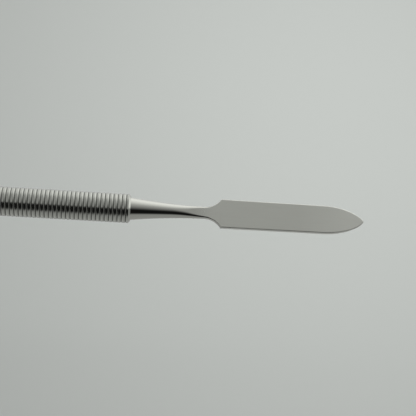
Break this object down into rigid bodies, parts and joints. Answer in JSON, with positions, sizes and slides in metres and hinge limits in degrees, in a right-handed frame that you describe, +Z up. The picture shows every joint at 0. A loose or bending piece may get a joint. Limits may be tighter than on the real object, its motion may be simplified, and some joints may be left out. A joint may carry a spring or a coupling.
{
  "type": "cuticle pusher",
  "caption": "Double-ended steel cuticle pusher: a ribbed round hollow grip with a flat pointed lancet blade at its front and a cupped, rounded spoon pusher at its rear.",
  "frame": {"origin": "on the surface that the tool lies on, under the middle of its length", "axes": "+X along the tool to the lancet's point, +Z up from the surface it lies on and square to the blade's flat, +Y to the left of +X"},
  "size_m": [0.15, 0.007, 0.0069],
  "materials": {
    "ribbed_steel": "turned stainless steel, satin, with ring grooves",
    "polished_steel": "forged stainless steel: mirror-polished necks, satin ground blade and spoon",
    "silver_solder": "silver brazing alloy, as melted; hidden in the joints"
  },
  "bodies": {
    "root": {"grip_tube": "ribbed_steel", "lancet_end": "polished_steel", "spoon_end": "polished_steel", "front_solder_ring": "silver_solder", "rear_solder_ring": "silver_solder"}
  },
  "joints": []
}
